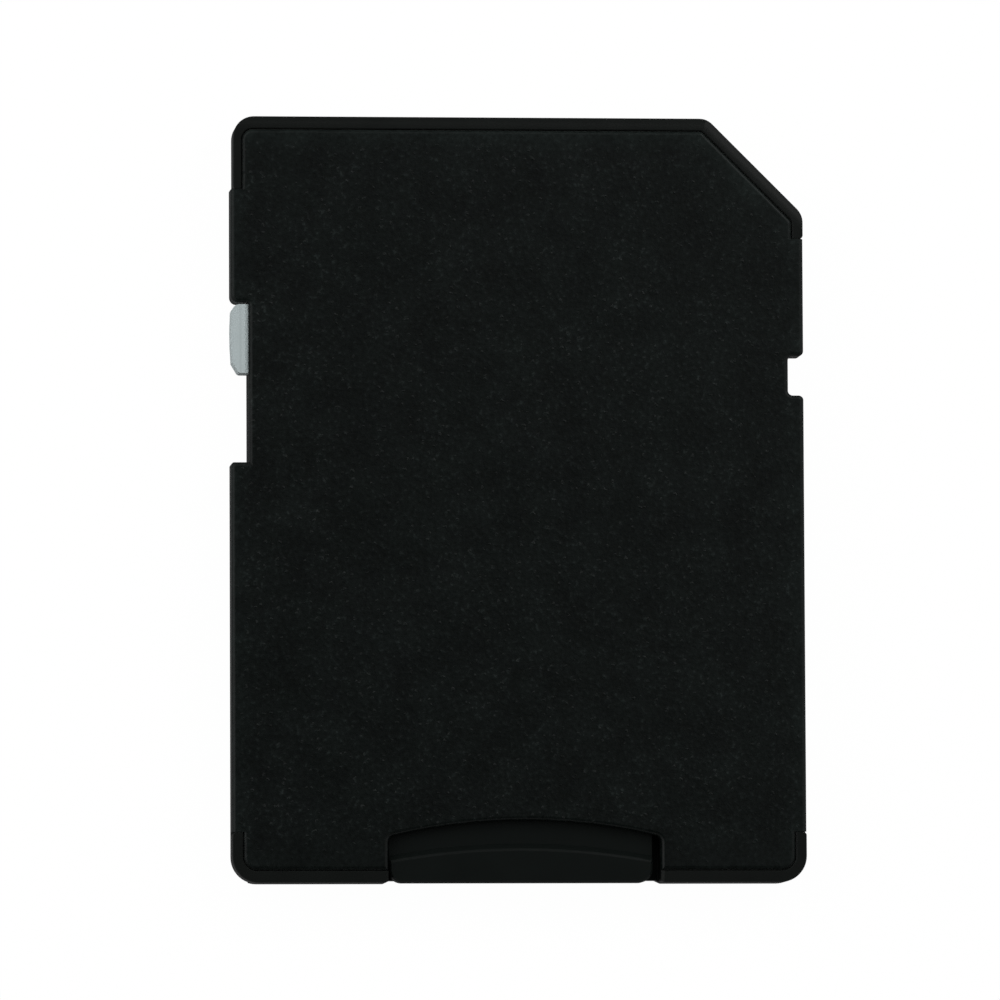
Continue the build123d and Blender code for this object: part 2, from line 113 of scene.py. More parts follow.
# Shares of a piece's colour between which its clouds, streaks or stains vary.
RIM_TONES = (0.85, 1.15)
LCP_TONES = (0.7, 1.4)
SLIDER_TONES = (0.97, 1.03)
CARD_TONES = (0.85, 1.15)
STRIP_TONES = (0.86, 1.0)

# Roughness of the other pieces. Over the rolling lines it varies between two shares of a strip's own.
LCP_ROUGHNESS = 0.55
SLIDER_ROUGHNESS = 0.42
CARD_ROUGHNESS = {"To Min": 0.3, "To Max": 0.38}
TERMINAL_ROUGHNESS = 0.26
SPRING_ROUGHNESS = 0.3
PAD_ROUGHNESS = 0.32
LINE_SHARES = (0.8, 1.2)

# Painted light: a paler grey lifts the shade where a seam shuts off most of the open air, on faces that don't
# look down.
SEAM_PAINTED_LIGHT_DEPTH = {"From Min": 0.2, "From Max": 0.6, "To Min": 1.0, "To Max": 0.0}
SEAM_PAINTED_LIGHT_SLOPE = -0.3
SEAM_PAINTED_LIGHT_RAYS = 4

# Pattern sizes of the other pieces. The parting line reaches its width to both sides and carries painted
# shade, which dims the slider to its share; the relief of a strip is a share of its rolling line, and streaks
# and lines are drawn out along Y.
LCP_STREAK = 0.2 * MM
LCP_RELIEF = 0.005 * MM
SLIDER_CLOUD = 0.6 * MM
SLIDER_GRAIN = 0.06 * MM
SLIDER_RELIEF = 0.004 * MM
PARTING_WIDTH = 0.08 * MM
PARTING_PAINTED_SHADE = 0.9
CARD_FILLER = 0.08 * MM
CARD_CLOUD = 1.5 * MM
CARD_RELIEF = 0.006 * MM
STRIP_STAIN = 0.9 * MM
STRIP_RELIEF = 0.05
STREAK_STRETCH = (1.0, 0.15, 1.0)
LINE_STRETCH = (1.0, 0.04, 1.0)

# The floor lies just under the card. In gloss its paper darkens where the card shuts off the air, and it is
# clear right under the card.
FLOOR_DROP = 0.02 * MM
PAPER_SHADE = {"From Min": 0.93, "To Min": 0.1}
UNDER_CARD = 0.25

# What gloss sees of the surround by height: white flanks, a dark sky over them and a dimmer ground. Nothing
# sees less than the ambient level.
FLANKS = {"From Min": 0.25, "From Max": 0.6, "To Min": 1.0, "To Max": 0.02}
GROUND = {"From Min": -0.2, "From Max": 0.0, "To Min": 0.65, "To Max": 1.0}
AMBIENT = 0.08

# Each lamp's kind, heading from the card, clockwise from the contact end, and height angle, both in degrees,
# and its distance in metres and power in watts.
LAMPS = {
    "left_lamp": ("wide", -90, 25, 0.30, 0.31),
    "upper_left_lamp": ("wide", -60, 40, 0.25, 0.48),
    "upper_right_lamp": ("small", 45, 36, 0.25, 0.18),
    "lead_lamp": ("wide", 25, 60, 0.25, 0.12),
    "right_lamp": ("wide", 75, 45, 0.22, 0.26),
    "under_lamp": ("wide", -30, -50, 0.30, 0.25),
}

# The camera sees from a tenth of its distance to ten floor sides away.
CLIP_NEAR = 0.1
CLIP_FAR = 10


def linear(hex_colour):
    """The linear colour of an sRGB hex value."""
    shares = [int(hex_colour[i:i + 2], 16) / 255 for i in (1, 3, 5)]
    return tuple(c / 12.92 if c <= 0.04045 else ((c + 0.055) / 1.055) ** 2.4 for c in shares)


WHITE = linear("#FFFFFF")


class CardFinish(bpy.types.PropertyGroup):
    """Colours and grain sizes of the pieces."""

    cover_black: bpy.props.FloatVectorProperty(
        name="Cover black",
        description="Black of the moulded front cover",
        subtype="COLOR",
        default=linear("#090D0C"),
    )
    # The hollows' black is painted shade between the grains.
    hollow_painted_shade: bpy.props.FloatVectorProperty(
        name="Hollow black",
        description="Black of the hollows between the grains of the front cover",
        subtype="COLOR",
        default=linear("#050807"),
    )
    # Painted glints: this pale colour is painted on grain tops and pebbles in place of their highlights.
    cover_painted_glint: bpy.props.FloatVectorProperty(
        name="Cover speck",
        description="Colour of the grain tops that catch the light",
        subtype="COLOR",
        default=linear("#1C2120"),
    )
    rim_black: bpy.props.FloatVectorProperty(
        name="Back cover black",
        description="Black of the moulded back cover",
        subtype="COLOR",
        default=linear("#101211"),
    )
    carrier_black: bpy.props.FloatVectorProperty(
        name="Carrier black",
        description="Black of the moulded terminal carrier",
        subtype="COLOR",
        default=linear("#161616"),
    )
    slider_grey: bpy.props.FloatVectorProperty(
        name="Slider grey",
        description="Pale grey of the lock slider",
        subtype="COLOR",
        default=linear("#9FA9AA"),
    )
    card_black: bpy.props.FloatVectorProperty(
        name="Micro card black",
        description="Black of the micro card body",
        subtype="COLOR",
        default=linear("#0D100F"),
    )
    contact_gold: bpy.props.FloatVectorProperty(
        name="Contact gold",
        description="Hard gold plating of the terminals and pads",
        subtype="COLOR",
        default=linear("#EBC67F"),
    )
    leaf_steel: bpy.props.FloatVectorProperty(
        name="Leaf steel",
        description="Rolled steel of the side spring",
        subtype="COLOR",
        default=linear("#C2C0BB"),
    )
    # Painted light: this grey is painted deep in the seams to lift their shade.
    seam_painted_light_grey: bpy.props.FloatVectorProperty(
        name="Dust grey",
        description="Dark grey of the fine dust in the seams",
        subtype="COLOR",
        default=linear("#303231"),
    )
    # How close a seam's walls must stand for the painted light to lift its shade.
    seam_painted_light_reach: bpy.props.FloatProperty(
        name="Dust reach",
        description="How close the walls of a seam stand where dust stays in it",
        unit="LENGTH",
        default=0.2 * MM,
    )
    cut_corner: bpy.props.FloatProperty(
        name="Cut corner",
        description="Leg of the shell's cut corner",
        unit="LENGTH",
        default=4.0 * MM,
    )
    # The paler band is painted light along the leading edge and the sides.
    painted_edge_light_width: bpy.props.FloatProperty(
        name="Rubbed width",
        description="Width of the paler band along the edges that rub in a card slot",
        unit="LENGTH",
        default=1.0 * MM,
    )
    cover_grain: bpy.props.FloatProperty(
        name="Cover grain",
        description="Size of a grain of the spark-eroded skin",
        unit="LENGTH",
        default=0.17 * MM,
    )
    rim_grain: bpy.props.FloatProperty(
        name="Back cover grain",
        description="Size of a grain of the finer back cover skin",
        unit="LENGTH",
        default=0.07 * MM,
    )
    side_margin: bpy.props.FloatProperty(
        name="Side margin",
        description="Width along the cover's sides where the grain fades out",
        unit="LENGTH",
        default=0.7 * MM,
    )
    lead_margin: bpy.props.FloatProperty(
        name="Leading margin",
        description="Width along the cover's leading edge and cut corner where the grain fades out",
        unit="LENGTH",
        default=1.3 * MM,
    )
    rear_margin: bpy.props.FloatProperty(
        name="Rear margin",
        description="Width along the cover's rear edge where the grain fades out",
        unit="LENGTH",
        default=2.2 * MM,
    )
    parting_line: bpy.props.FloatProperty(
        name="Parting line",
        description="Place of the mould's parting line on the slider, from its outer edge",
        unit="LENGTH",
        default=0.39 * MM,
    )
    rolling_line: bpy.props.FloatProperty(
        name="Rolling line",
        description="Width of the rolling lines of the strip metal",
        unit="LENGTH",
        default=0.03 * MM,
    )


class CardStage(bpy.types.PropertyGroup):
    """Camera, lamps and floor."""

    camera_distance: bpy.props.FloatProperty(
        name="Camera distance",
        description="From the camera to the point it looks at",
        unit="LENGTH",
        default=0.4,
    )
    view_span: bpy.props.FloatProperty(
        name="View span",
        description="Width that the picture takes in at that point",
        unit="LENGTH",
        default=41.70 * MM,
    )
    look_at: bpy.props.FloatVectorProperty(
        name="Look at",
        description="Point in the middle of the picture",
        subtype="TRANSLATION",
        default=(-0.790 * MM, -0.056 * MM, CAD_BOX[1].z),
    )
    lean_side: bpy.props.FloatProperty(
        name="Lean to the side",
        description="Angle of the camera off the vertical, towards +X",
        subtype="ANGLE",
        default=math.radians(-5.20),
    )
    lean_end: bpy.props.FloatProperty(
        name="Lean to the end",
        description="Angle of the camera off the vertical, towards +Y",
        subtype="ANGLE",
        default=math.radians(-4.21),
    )
    roll: bpy.props.FloatProperty(
        name="Roll",
        description="Turn of the camera about its own line of sight",
        subtype="ANGLE",
        default=math.radians(-0.26),
    )
    floor_side: bpy.props.FloatProperty(
        name="Floor side",
        description="Side of the square floor",
        unit="LENGTH",
        default=6.0,
    )
    floor_glow: bpy.props.FloatProperty(
        name="Floor glow",
        description="Share of the floor's white that shows by itself, the rest being lit and shaded",
        subtype="FACTOR",
        min=0.0,
        max=1.0,
        default=0.985,
    )
    shade_reach: bpy.props.FloatProperty(
        name="Shade reach",
        description="How far from the card its shade on the floor shows in gloss",
        unit="LENGTH",
        default=10.0 * MM,
    )
    wide_lamp: bpy.props.FloatVectorProperty(
        name="Wide lamp",
        description="Level and upright side of a wide lamp",
        subtype="XYZ_LENGTH",
        size=2,
        default=(0.4, 0.25),
    )
    small_lamp: bpy.props.FloatVectorProperty(
        name="Small lamp",
        description="Level and upright side of a small lamp",
        subtype="XYZ_LENGTH",
        size=2,
        default=(0.16, 0.12),
    )


def add_node(tree, kind, inputs=None, output=None, **settings):
    """Adds a node with its settings, fills its inputs with constants or links, and returns an output."""
    node = tree.nodes.new(kind)
    for name, value in settings.items():
        setattr(node, name, value)
    for key, value in (inputs or {}).items():
        if isinstance(key, int):
            socket = node.inputs[key]
        else:
            socket = next(s for s in node.inputs if s.name == key and s.enabled)
        if isinstance(value, bpy.types.NodeSocket):
            tree.links.new(value, socket)
        elif socket.type == "RGBA" and len(value) == 3:
            socket.default_value = (*value, 1.0)
        else:
            socket.default_value = value
    if output:
        return node.outputs[output]
    return next((s for s in node.outputs if s.enabled), None)


def new_material(name):
    """A material with an empty node tree."""
    material = bpy.data.materials.new(name)
    material.use_nodes = True
    material.node_tree.nodes.clear()
    return material


def surface(tree, **inputs):
    """Ends the tree in a principled shader with those inputs, written with _ for a space."""
    named = {name.replace("_", " "): value for name, value in inputs.items()}
    shader = add_node(tree, "ShaderNodeBsdfPrincipled", named)
    add_node(tree, "ShaderNodeOutputMaterial", {"Surface": shader})


def dress(names, material):
    """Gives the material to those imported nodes."""
    for name in names:
        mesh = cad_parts[name].data
        mesh.materials.clear()
        mesh.materials.append(material)


def two_tones(colour, tones):
    """The two ends of a mix: the colour at the low and at the high share of its light."""
    return {end: tuple(share * c for c in colour) for end, share in zip("AB", tones)}


def with_painted_seam_light(tree, colour, finish):
    """The colour with a paler grey painted over it deep in the seams, as painted light that lifts their
    shade.
    """
    free = add_node(
        tree, "ShaderNodeAmbientOcclusion", {"Distance": finish.seam_painted_light_reach}, output="AO", samples=SEAM_PAINTED_LIGHT_RAYS
    )
    deep = add_node(tree, "ShaderNodeMapRange", {"Value": free, **SEAM_PAINTED_LIGHT_DEPTH})
    normal = add_node(tree, "ShaderNodeNewGeometry", output="True Normal")
    facing = add_node(tree, "ShaderNodeSeparateXYZ", {"Vector": normal}, output="Z")
    holding = add_node(tree, "ShaderNodeMath", {0: facing, 1: SEAM_PAINTED_LIGHT_SLOPE}, operation="GREATER_THAN")
    share = add_node(tree, "ShaderNodeMath", {0: deep, 1: holding}, operation="MULTIPLY")
    return add_node(
        tree, "ShaderNodeMix", {"Factor": share, "A": colour, "B": finish.seam_painted_light_grey}, data_type="RGBA"
    )


def edge_distances(tree, place, finish, node):
    """How far a point of the front cover is from its sides, its leading edge and its rear edge.

    The cut corner counts as part of the leading edge.
    """
    low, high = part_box(node)
    rim_width = CAD_BOX[1].y - high.y
    cut_line = CAD_BOX[1].x + CAD_BOX[1].y - finish.cut_corner - math.sqrt(2) * rim_width
    axes = add_node(tree, "ShaderNodeSeparateXYZ", {"Vector": place}).node.outputs
    across = add_node(tree, "ShaderNodeMath", {0: axes["X"]}, operation="ABSOLUTE")
    side = add_node(tree, "ShaderNodeMath", {0: high.x, 1: across}, operation="SUBTRACT")
    end = add_node(tree, "ShaderNodeMath", {0: high.y, 1: axes["Y"]}, operation="SUBTRACT")
    both = add_node(tree, "ShaderNodeMath", {0: axes["X"], 1: axes["Y"]}, operation="ADD")
    cut = add_node(tree, "ShaderNodeMath", {0: cut_line, 1: both}, operation="SUBTRACT")
    cut = add_node(tree, "ShaderNodeMath", {0: cut, 1: math.sqrt(2)}, operation="DIVIDE")
    lead = add_node(tree, "ShaderNodeMath", {0: end, 1: cut}, operation="MINIMUM")
    rear = add_node(tree, "ShaderNodeMath", {0: axes["Y"], 1: low.y}, operation="SUBTRACT")
    return side, lead, rear


def raised_pebbles(tree, place, clouds, grain):
    """Heights of single uneven pebbles, which stand up out of the skin in clusters."""
    warp = add_node(tree, "ShaderNodeTexNoise", {"Vector": place, "Scale": 1 / grain}, output="Color")
    warp = add_node(tree, "ShaderNodeVectorMath", {0: warp, 1: NOISE_MIDDLE}, operation="SUBTRACT")
    warp = add_node(tree, "ShaderNodeVectorMath", {0: warp, "Scale": PEBBLE_WARP * grain}, operation="SCALE")
    warped = add_node(tree, "ShaderNodeVectorMath", {0: place, 1: warp}, operation="ADD")
    away = add_node(
        tree,
        "ShaderNodeTexVoronoi",
        {"Vector": warped, "Scale": 1 / (PEBBLE_SPACING * grain)},
        output="Distance",
    )
    pebbles = add_node(
        tree,
        "ShaderNodeMapRange",
        {"Value": away, "From Max": PEBBLE_REACH, "To Min": 1.0, "To Max": 0.0},
        interpolation_type="SMOOTHSTEP",
    )
    cluster = add_node(tree, "ShaderNodeMapRange", {"Value": clouds, **CLUSTER})
    return add_node(tree, "ShaderNodeMath", {0: pebbles, 1: cluster}, operation="MULTIPLY")


def spark_eroded_abs(name, finish, node):
    """Black ABS moulded in a spark-eroded tool.

    The eye sees a dull skin with little gloss, hollows darkened by painted shade, raised pebbles, painted
    glints on single grain tops and pebbles, a calmer margin along the edges, where the tool was polished, a
    paler band of painted light along the leading edge and the sides, and a paler grey painted deep in the
    seams as light in their shade.
    """
    grain = finish.cover_grain
    material = new_material(name)
    tree = material.node_tree
    place = add_node(tree, "ShaderNodeTexCoord", output="Object")
    grains = add_node(tree, "ShaderNodeTexNoise", {"Vector": place, "Scale": 1 / grain, "Detail": 2.0})
    clouds = add_node(
        tree,
        "ShaderNodeTexNoise",
        {"Vector": place, "Scale": 1 / (COVER_CLOUD * grain), "Detail": 3.0, "Roughness": 0.6},
    )
    pebbles = raised_pebbles(tree, place, clouds, grain)
    side, lead, rear = edge_distances(tree, place, finish, node)

    # The grain fades in over the margins.
    margins = ((side, finish.side_margin), (lead, finish.lead_margin), (rear, finish.rear_margin))
    fades = [
        add_node(
            tree,
            "ShaderNodeMapRange",
            {"Value": room, "From Max": width, "To Min": EDGE_GRAIN},
            interpolation_type="SMOOTHSTEP",
        )
        for room, width in margins
    ]
    inner = add_node(tree, "ShaderNodeMath", {0: fades[0], 1: fades[1]}, operation="MINIMUM")
    inner = add_node(tree, "ShaderNodeMath", {0: inner, 1: fades[2]}, operation="MINIMUM")

    # Painted shade darkens the hollows below the level skin, and painted glints make grain tops and pebbles
    # paler.
    level = add_node(tree, "ShaderNodeMapRange", {"Value": grains, **LEVEL_GROUND})
    skin_with_painted_shade = add_node(
        tree,
        "ShaderNodeMix",
        {"Factor": level, "A": finish.hollow_painted_shade, "B": finish.cover_black},
        data_type="RGBA",
    )
    tops = add_node(
        tree, "ShaderNodeMapRange", {"Value": grains, **GRAIN_TOP}, interpolation_type="SMOOTHSTEP"
    )
    tops = add_node(tree, "ShaderNodeMath", {0: tops, 1: TOP_PAINTED_GLINT}, operation="MULTIPLY")
    raised = add_node(tree, "ShaderNodeMath", {0: pebbles, 1: PEBBLE_PAINTED_GLINT}, operation="MULTIPLY")
    pale = add_node(tree, "ShaderNodeMath", {0: tops, 1: raised}, operation="MAXIMUM")
    crowd = add_node(tree, "ShaderNodeMapRange", {"Value": clouds, **CROWD})
    crowd = add_node(tree, "ShaderNodeMath", {0: crowd, 1: inner}, operation="MULTIPLY")
    pale = add_node(tree, "ShaderNodeMath", {0: pale, 1: crowd}, operation="MULTIPLY")
    colour = add_node(
        tree, "ShaderNodeMix", {"Factor": pale, "A": skin_with_painted_shade, "B": finish.cover_painted_glint}, data_type="RGBA"
    )

    # Clouds shade the skin, painted light makes the leading edge and the sides paler, and a paler grey
    # painted in the seam round it lifts the seam's shade.
    painted_edge_lights = [
        add_node(
            tree,
            "ShaderNodeMapRange",
            {"Value": room, "From Max": finish.painted_edge_light_width, "To Min": painted_gain, "To Max": 1.0},
        )
        for room, painted_gain in ((lead, LEAD_PAINTED_LIGHT), (side, SIDE_PAINTED_LIGHT))
    ]
    # The paler band along the edges is painted light.
    rub = add_node(tree, "ShaderNodeMath", {0: painted_edge_lights[0], 1: painted_edge_lights[1]}, operation="MAXIMUM")
    shade = add_node(tree, "ShaderNodeMapRange", {"Value": clouds, **CLOUD_SHADE})
    shade = add_node(tree, "ShaderNodeMath", {0: shade, 1: rub}, operation="MULTIPLY")
    colour = add_node(tree, "ShaderNodeVectorMath", {0: colour, "Scale": shade}, operation="SCALE")
    colour = with_painted_seam_light(tree, colour, finish)

    rough = add_node(tree, "ShaderNodeMapRange", {"Value": clouds, **COVER_ROUGHNESS})
    skin = add_node(
        tree, "ShaderNodeBump", {"Height": grains, "Strength": inner, "Distance": GRAIN_HEIGHT * grain}
    )
    skin = add_node(
        tree,
        "ShaderNodeBump",
        {"Height": pebbles, "Strength": inner, "Distance": PEBBLE_HEIGHT * grain, "Normal": skin},
    )
    surface(
        tree,
        Base_Color=colour,
        Roughness=rough,
        Normal=skin,
        IOR=ABS_IOR,
        Specular_IOR_Level=PEBBLED_GLOSS,
    )
    return material


def blasted_abs(name, finish):
    """Black ABS moulded in a fine blasted tool.

    The eye sees an even satin black, smoother than the front cover, with a faint cloudiness and with a paler
    grey painted deep in the seams as light that lifts their shade.
    """
    grain = finish.rim_grain
    material = new_material(name)
    tree = material.node_tree
    place = add_node(tree, "ShaderNodeTexCoord", output="Object")
    grains = add_node(tree, "ShaderNodeTexNoise", {"Vector": place, "Scale": 1 / grain, "Detail": 2.0})
    clouds = add_node(
        tree, "ShaderNodeTexNoise", {"Vector": place, "Scale": 1 / (RIM_CLOUD * grain), "Detail": 3.0}
    )
    colour = add_node(
        tree, "ShaderNodeMix", {"Factor": clouds, **two_tones(finish.rim_black, RIM_TONES)}, data_type="RGBA"
    )
    # A paler grey is painted deep in the seams as light that lifts their shade.
    colour = with_painted_seam_light(tree, colour, finish)
    rough = add_node(tree, "ShaderNodeMapRange", {"Value": clouds, **RIM_ROUGHNESS})
    skin = add_node(
        tree, "ShaderNodeBump", {"Height": grains, "Strength": 0.5, "Distance": RIM_HEIGHT * grain}
    )
    surface(tree, Base_Color=colour, Roughness=rough, Normal=skin, IOR=ABS_IOR, Specular_IOR_Level=FINE_GLOSS)
    return material


def moulded_lcp(name, black):
    """Liquid crystal polymer, moulded thin: a dull dark grey with flow streaks along the terminals."""
    material = new_material(name)
    tree = material.node_tree
    place = add_node(tree, "ShaderNodeTexCoord", output="Object")
    drawn_out = add_node(tree, "ShaderNodeMapping", {"Vector": place, "Scale": STREAK_STRETCH})
    streaks = add_node(
        tree, "ShaderNodeTexNoise", {"Vector": drawn_out, "Scale": 1 / LCP_STREAK, "Detail": 3.0}
    )
    colour = add_node(
        tree, "ShaderNodeMix", {"Factor": streaks, **two_tones(black, LCP_TONES)}, data_type="RGBA"
    )
    skin = add_node(tree, "ShaderNodeBump", {"Height": streaks, "Strength": 0.4, "Distance": LCP_RELIEF})
    surface(tree, Base_Color=colour, Roughness=LCP_ROUGHNESS, Normal=skin, IOR=LCP_IOR)
    return material


def moulded_acetal(name, grey, parting_line, node):
    """Pale grey acetal, moulded: satin and slightly waxy, with a faint cloudiness and painted shade along a
    fine parting line.
    """
    material = new_material(name)
    tree = material.node_tree
    line_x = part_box(node)[0].x + parting_line
    place = add_node(tree, "ShaderNodeTexCoord", output="Object")
    clouds = add_node(tree, "ShaderNodeTexNoise", {"Vector": place, "Scale": 1 / SLIDER_CLOUD, "Detail": 3.0})
    grains = add_node(tree, "ShaderNodeTexNoise", {"Vector": place, "Scale": 1 / SLIDER_GRAIN, "Detail": 2.0})
    colour = add_node(
        tree, "ShaderNodeMix", {"Factor": clouds, **two_tones(grey, SLIDER_TONES)}, data_type="RGBA"
    )
    # Painted shade darkens the slider along its parting line.
    across = add_node(tree, "ShaderNodeSeparateXYZ", {"Vector": place}, output="X")
    off = add_node(tree, "ShaderNodeMath", {0: across, 1: line_x}, operation="SUBTRACT")
    off = add_node(tree, "ShaderNodeMath", {0: off}, operation="ABSOLUTE")
    line = add_node(
        tree,
        "ShaderNodeMapRange",
        {"Value": off, "From Max": PARTING_WIDTH, "To Min": PARTING_PAINTED_SHADE, "To Max": 1.0},
        interpolation_type="SMOOTHSTEP",
    )
    colour = add_node(tree, "ShaderNodeVectorMath", {0: colour, "Scale": line}, operation="SCALE")
    skin = add_node(tree, "ShaderNodeBump", {"Height": grains, "Strength": 0.1, "Distance": SLIDER_RELIEF})
    surface(tree, Base_Color=colour, Roughness=SLIDER_ROUGHNESS, Normal=skin, IOR=ACETAL_IOR)
    return material


def transfer_moulded_epoxy(name, black):
    """Filled epoxy, transfer moulded: a satin black with a very fine mineral grain.

    The filler is finer than a pixel of the picture, so its grain is drawn about four times too coarse.
    """
    material = new_material(name)
    tree = material.node_tree
    place = add_node(tree, "ShaderNodeTexCoord", output="Object")
    filler = add_node(tree, "ShaderNodeTexNoise", {"Vector": place, "Scale": 1 / CARD_FILLER, "Detail": 2.0})
    clouds = add_node(tree, "ShaderNodeTexNoise", {"Vector": place, "Scale": 1 / CARD_CLOUD, "Detail": 2.0})
    colour = add_node(
        tree, "ShaderNodeMix", {"Factor": clouds, **two_tones(black, CARD_TONES)}, data_type="RGBA"
    )
    rough = add_node(tree, "ShaderNodeMapRange", {"Value": filler, **CARD_ROUGHNESS})
    skin = add_node(tree, "ShaderNodeBump", {"Height": filler, "Strength": 0.25, "Distance": CARD_RELIEF})
    surface(
        tree,
        Base_Color=colour,
        Roughness=rough,
        Normal=skin,
        IOR=EPOXY_IOR,
        Specular_IOR_Level=FINE_GLOSS,
    )
    return material


def rolled_strip(name, colour, line, roughness):
    """Rolled strip metal, bare or plated: bright, with fine lines along the strip and soft stains.

    The rolling lines are finer than a pixel of the picture, so they are drawn about three times too coarse.
    """
    material = new_material(name)
    tree = material.node_tree
    place = add_node(tree, "ShaderNodeTexCoord", output="Object")
    drawn_out = add_node(tree, "ShaderNodeMapping", {"Vector": place, "Scale": LINE_STRETCH})
    lines = add_node(tree, "ShaderNodeTexNoise", {"Vector": drawn_out, "Scale": 1 / line, "Detail": 2.0})
    stains = add_node(tree, "ShaderNodeTexNoise", {"Vector": place, "Scale": 1 / STRIP_STAIN, "Detail": 3.0})
    tint = add_node(
        tree, "ShaderNodeMix", {"Factor": stains, **two_tones(colour, STRIP_TONES)}, data_type="RGBA"
    )
    smooth, coarse = (share * roughness for share in LINE_SHARES)
    rough = add_node(
        tree, "ShaderNodeMapRange", {"Value": lines, **NOISE_SPAN, "To Min": smooth, "To Max": coarse}
    )
    skin = add_node(
        tree, "ShaderNodeBump", {"Height": lines, "Strength": 0.35, "Distance": STRIP_RELIEF * line}
    )
    surface(tree, Base_Color=tint, Metallic=1.0, Roughness=rough, Normal=skin)
    return material


def white_sweep_paper(stage):
    """White paper that shows white by itself and keeps the card's shadow."""
    material = new_material("white_sweep_paper")
    tree = material.node_tree
    rays = add_node(tree, "ShaderNodeLightPath").node.outputs
    glossy = rays["Is Glossy Ray"]

    # In what gloss mirrors, the paper darkens towards the card, which stands in its light there.
    free = add_node(tree, "ShaderNodeAmbientOcclusion", {"Distance": stage.shade_reach}, output="AO")
    open_air = add_node(tree, "ShaderNodeMapRange", {"Value": free, **PAPER_SHADE})
    tone = add_node(
        tree, "ShaderNodeMix", {"Factor": glossy, "A": WHITE, "B": open_air}, data_type="RGBA"
    )
    paper = add_node(tree, "ShaderNodeBsdfDiffuse", {"Color": tone})
    glow = add_node(tree, "ShaderNodeEmission", {"Strength": 1.0})
    mirrored = add_node(tree, "ShaderNodeMath", {0: glossy, 1: open_air}, operation="MULTIPLY")
    seen = add_node(tree, "ShaderNodeMath", {0: rays["Is Camera Ray"], 1: mirrored}, operation="ADD")
    seen = add_node(tree, "ShaderNodeMath", {0: seen, 1: rays["Is Transmission Ray"]}, operation="MAXIMUM")
    share = add_node(
        tree, "ShaderNodeMath", {0: seen, 1: stage.floor_glow}, operation="MULTIPLY", use_clamp=True
    )
    white = add_node(tree, "ShaderNodeMixShader", {0: share, 1: paper, 2: glow})

    # Seen from under the floor, by the lamp there and right under the card in gloss, the paper is clear, so
    # that the contact side shows.
    clear = add_node(tree, "ShaderNodeBsdfTransparent")
    below = add_node(tree, "ShaderNodeNewGeometry", output="Backfacing")
    below = add_node(tree, "ShaderNodeMath", {0: below, 1: rays["Is Shadow Ray"]}, operation="MAXIMUM")
    under = add_node(tree, "ShaderNodeMath", {0: free, 1: UNDER_CARD}, operation="LESS_THAN")
    under = add_node(tree, "ShaderNodeMath", {0: under, 1: glossy}, operation="MULTIPLY")
    below = add_node(tree, "ShaderNodeMath", {0: below, 1: under}, operation="MAXIMUM")
    sheet = add_node(tree, "ShaderNodeMixShader", {0: below, 1: white, 2: clear})
    add_node(tree, "ShaderNodeOutputMaterial", {"Surface": sheet})
    return material


def make_floor(scene, stage):
    """A square of white paper just under the card."""
    half = stage.floor_side / 2
    level = CAD_BOX[0].z - FLOOR_DROP
    corners = [(-half, -half, level), (half, -half, level), (half, half, level), (-half, half, level)]
    mesh = bpy.data.meshes.new("floor")
    mesh.from_pydata(corners, [], [(0, 1, 2, 3)])
    mesh.materials.append(white_sweep_paper(stage))
    floor = bpy.data.objects.new("floor", mesh)
    scene.collection.objects.link(floor)


def make_world(scene):
    """A white surround for the camera and for gloss, dark overhead, with little light of its own."""
    world = bpy.data.worlds.new("white_surround")
    world.use_nodes = True
    tree = world.node_tree
    tree.nodes.clear()
    rays = add_node(tree, "ShaderNodeLightPath").node.outputs
    direction = add_node(tree, "ShaderNodeTexCoord", output="Generated")
    height = add_node(tree, "ShaderNodeSeparateXYZ", {"Vector": direction}, output="Z")
    flanks = add_node(
        tree, "ShaderNodeMapRange", {"Value": height, **FLANKS}, interpolation_type="SMOOTHSTEP"
    )
    ground = add_node(tree, "ShaderNodeMapRange", {"Value": height, **GROUND})
    gloss = add_node(tree, "ShaderNodeMath", {0: flanks, 1: ground}, operation="MULTIPLY")
    gloss = add_node(tree, "ShaderNodeMath", {0: rays["Is Glossy Ray"], 1: gloss}, operation="MULTIPLY")
    seen = add_node(
        tree,
        "ShaderNodeMath",
        {0: rays["Is Camera Ray"], 1: rays["Is Transmission Ray"]},
        operation="MAXIMUM",
    )
    level = add_node(tree, "ShaderNodeMath", {0: seen, 1: gloss}, operation="MAXIMUM")
    level = add_node(tree, "ShaderNodeMath", {0: level, 1: AMBIENT}, operation="MAXIMUM")
    back = add_node(tree, "ShaderNodeBackground", {"Color": WHITE, "Strength": level})
    add_node(tree, "ShaderNodeOutputWorld", {"Surface": back})
    scene.world = world


def make_lamps(scene, stage):
    """Soft lamps round the card and one under the floor, the strongest at the upper left."""
    for name, (kind, heading, height, distance, power) in LAMPS.items():
        light = bpy.data.lights.new(name, "AREA")
        light.energy = power
        light.shape = "RECTANGLE"
        light.size, light.size_y = stage.wide_lamp if kind == "wide" else stage.small_lamp
        lamp = bpy.data.objects.new(name, light)
        turn = math.radians(heading)
        rise = math.radians(height)
        away = Vector((math.sin(turn) * math.cos(rise), math.cos(turn) * math.cos(rise), math.sin(rise)))
        lamp.location = away * distance
        lamp.rotation_euler = away.to_track_quat("Z", "Y").to_euler()
        lamp.visible_camera = False
        scene.collection.objects.link(lamp)


